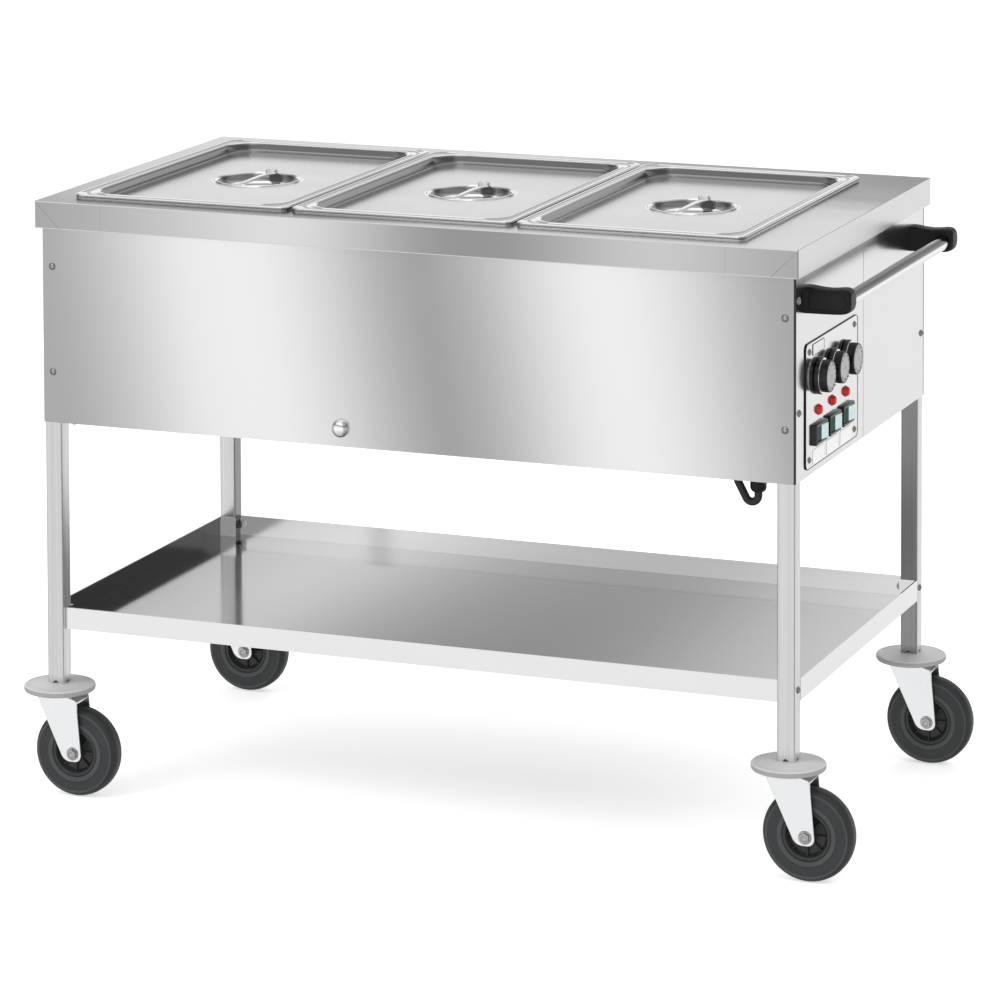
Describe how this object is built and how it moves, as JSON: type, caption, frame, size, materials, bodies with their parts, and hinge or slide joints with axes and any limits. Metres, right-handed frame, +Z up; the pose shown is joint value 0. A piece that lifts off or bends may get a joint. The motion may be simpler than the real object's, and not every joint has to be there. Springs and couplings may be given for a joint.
{
  "type": "mobile hot food steam table",
  "caption": "Stainless steam table on swivel casters with heated wells, lidded pans, an undershelf, a push handle and an end control plate.",
  "frame": {"origin": "on the floor, below the centre of the overall box", "axes": "+X towards the end with the push handle and the controls, -Y towards the front with the drain knob, +Z up"},
  "size_m": [1.2123, 0.673, 0.846],
  "materials": {
    "brushed_steel": "brushed",
    "tube_steel": "fine brushed",
    "shelf_steel": "semi-polished",
    "lid_steel": "satin",
    "satin_steel": "satin",
    "zinc": "bright zinc plate",
    "chrome": "polished",
    "brass": "satin",
    "black_plastic": "fine texture",
    "black_gloss": "semi-gloss",
    "green_rocker": "gloss",
    "red_lens": "clear gloss",
    "white_plate": "satin",
    "cream_plastic": "matte",
    "black_rubber": "matte",
    "grey_rubber": "matte",
    "heater": "dark oxide",
    "insulation": "mineral wool",
    "wire_red": "silicone sleeve"
  },
  "bodies": {
    "frame": {"worktop": "brushed_steel", "front_panel": "brushed_steel", "rear_panel": "brushed_steel", "left_end_panel": "brushed_steel", "right_end_panel_front": "brushed_steel", "right_end_panel_rear": "brushed_steel", "base_pan": "brushed_steel", "legs": "tube_steel", "undershelf": "shelf_steel", "frame_bolts": "zinc", "panel_screws": "zinc", "wells": "satin_steel", "heating_elements": "heater", "insulation_pads": "insulation", "drain_manifold": "satin_steel", "drain_valve": "brass", "control_plate": "brushed_steel", "thermostats": "cream_plastic", "pilot_lamps": "red_lens", "switch_housings": "black_gloss", "label_plates": "white_plate", "wiring": "wire_red", "terminal_block": "cream_plastic", "handle_brackets": "black_plastic", "handle_tube": "tube_steel", "cable_gland": "black_plastic", "power_cable": "black_rubber", "plug": "black_rubber", "plug_holder": "black_plastic", "bumper_discs": "grey_rubber", "caster_mounts": "zinc"},
    "caster_front_left": {"caster_fork_front_left": "zinc", "caster_axle_front_left": "zinc"},
    "wheel_front_left": {"wheel_hub_front_left": "black_plastic", "tyre_front_left": "grey_rubber"},
    "caster_front_right": {"caster_fork_front_right": "zinc", "caster_axle_front_right": "zinc"},
    "wheel_front_right": {"wheel_hub_front_right": "black_plastic", "tyre_front_right": "grey_rubber"},
    "caster_rear_left": {"caster_fork_rear_left": "zinc", "caster_axle_rear_left": "zinc"},
    "wheel_rear_left": {"wheel_hub_rear_left": "black_plastic", "tyre_rear_left": "grey_rubber"},
    "caster_rear_right": {"caster_fork_rear_right": "zinc", "caster_axle_rear_right": "zinc"},
    "wheel_rear_right": {"wheel_hub_rear_right": "black_plastic", "tyre_rear_right": "grey_rubber"},
    "thermostat_knob_1": {"thermostat_knob_1": "black_gloss"},
    "thermostat_knob_2": {"thermostat_knob_2": "black_gloss"},
    "thermostat_knob_3": {"thermostat_knob_3": "black_gloss"},
    "switch_rocker_1": {"switch_rocker_1": "green_rocker"},
    "switch_rocker_2": {"switch_rocker_2": "green_rocker"},
    "switch_rocker_3": {"switch_rocker_3": "green_rocker"},
    "drain_knob": {"drain_knob": "chrome"},
    "food_pan_1": {"food_pan_1": "satin_steel"},
    "pan_lid_1": {"pan_lid_1": "lid_steel"},
    "food_pan_2": {"food_pan_2": "satin_steel"},
    "pan_lid_2": {"pan_lid_2": "lid_steel"},
    "food_pan_3": {"food_pan_3": "satin_steel"},
    "pan_lid_3": {"pan_lid_3": "lid_steel"}
  },
  "joints": [
    {"name": "swivel_front_left", "type": "hinge", "parent": "frame", "child": "caster_front_left", "pos_m": [-0.55625, -0.2865, 0.131], "axis": [0, 0, 1], "continuous": true},
    {"name": "roll_front_left", "type": "hinge", "parent": "caster_front_left", "child": "wheel_front_left", "pos_m": [-0.52725, -0.2865, 0.0625], "axis": [0, 1, 0], "continuous": true},
    {"name": "swivel_front_right", "type": "hinge", "parent": "frame", "child": "caster_front_right", "pos_m": [0.51475, -0.2865, 0.131], "axis": [0, 0, 1], "continuous": true},
    {"name": "roll_front_right", "type": "hinge", "parent": "caster_front_right", "child": "wheel_front_right", "pos_m": [0.54375, -0.2865, 0.0625], "axis": [0, 1, 0], "continuous": true},
    {"name": "swivel_rear_left", "type": "hinge", "parent": "frame", "child": "caster_rear_left", "pos_m": [-0.55625, 0.2865, 0.131], "axis": [0, 0, 1], "continuous": true},
    {"name": "roll_rear_left", "type": "hinge", "parent": "caster_rear_left", "child": "wheel_rear_left", "pos_m": [-0.52725, 0.2865, 0.0625], "axis": [0, 1, 0], "continuous": true},
    {"name": "swivel_rear_right", "type": "hinge", "parent": "frame", "child": "caster_rear_right", "pos_m": [0.51475, 0.2865, 0.131], "axis": [0, 0, 1], "continuous": true},
    {"name": "roll_rear_right", "type": "hinge", "parent": "caster_rear_right", "child": "wheel_rear_right", "pos_m": [0.54375, 0.2865, 0.0625], "axis": [0, 1, 0], "continuous": true},
    {"name": "thermostat_1", "type": "hinge", "parent": "frame", "child": "thermostat_knob_1", "pos_m": [0.52975, -0.205, 0.655], "axis": [1, 0, 0], "range_deg": [-270, 0]},
    {"name": "thermostat_2", "type": "hinge", "parent": "frame", "child": "thermostat_knob_2", "pos_m": [0.52975, -0.144, 0.655], "axis": [1, 0, 0], "range_deg": [-270, 0]},
    {"name": "thermostat_3", "type": "hinge", "parent": "frame", "child": "thermostat_knob_3", "pos_m": [0.52975, -0.083, 0.655], "axis": [1, 0, 0], "range_deg": [-270, 0]},
    {"name": "switch_1", "type": "hinge", "parent": "frame", "child": "switch_rocker_1", "pos_m": [0.5325, -0.205, 0.579], "axis": [0, 0, 1], "range_deg": [0, 10]},
    {"name": "switch_2", "type": "hinge", "parent": "frame", "child": "switch_rocker_2", "pos_m": [0.5325, -0.144, 0.579], "axis": [0, 0, 1], "range_deg": [0, 10]},
    {"name": "switch_3", "type": "hinge", "parent": "frame", "child": "switch_rocker_3", "pos_m": [0.5325, -0.083, 0.579], "axis": [0, 0, 1], "range_deg": [0, 10]},
    {"name": "drain_tap", "type": "hinge", "parent": "frame", "child": "drain_knob", "pos_m": [-0.11875, -0.3, 0.5535], "axis": [0, 1, 0], "range_deg": [0, 90]},
    {"name": "pan_lift_1", "type": "slide", "parent": "frame", "child": "food_pan_1", "axis": [0, 0, 1], "range_m": [0, 0.2]},
    {"name": "lid_lift_1", "type": "slide", "parent": "food_pan_1", "child": "pan_lid_1", "axis": [0, 0, 1], "range_m": [0, 0.12]},
    {"name": "pan_lift_2", "type": "slide", "parent": "frame", "child": "food_pan_2", "axis": [0, 0, 1], "range_m": [0, 0.2]},
    {"name": "lid_lift_2", "type": "slide", "parent": "food_pan_2", "child": "pan_lid_2", "axis": [0, 0, 1], "range_m": [0, 0.12]},
    {"name": "pan_lift_3", "type": "slide", "parent": "frame", "child": "food_pan_3", "axis": [0, 0, 1], "range_m": [0, 0.2]},
    {"name": "lid_lift_3", "type": "slide", "parent": "food_pan_3", "child": "pan_lid_3", "axis": [0, 0, 1], "range_m": [0, 0.12]}
  ]
}
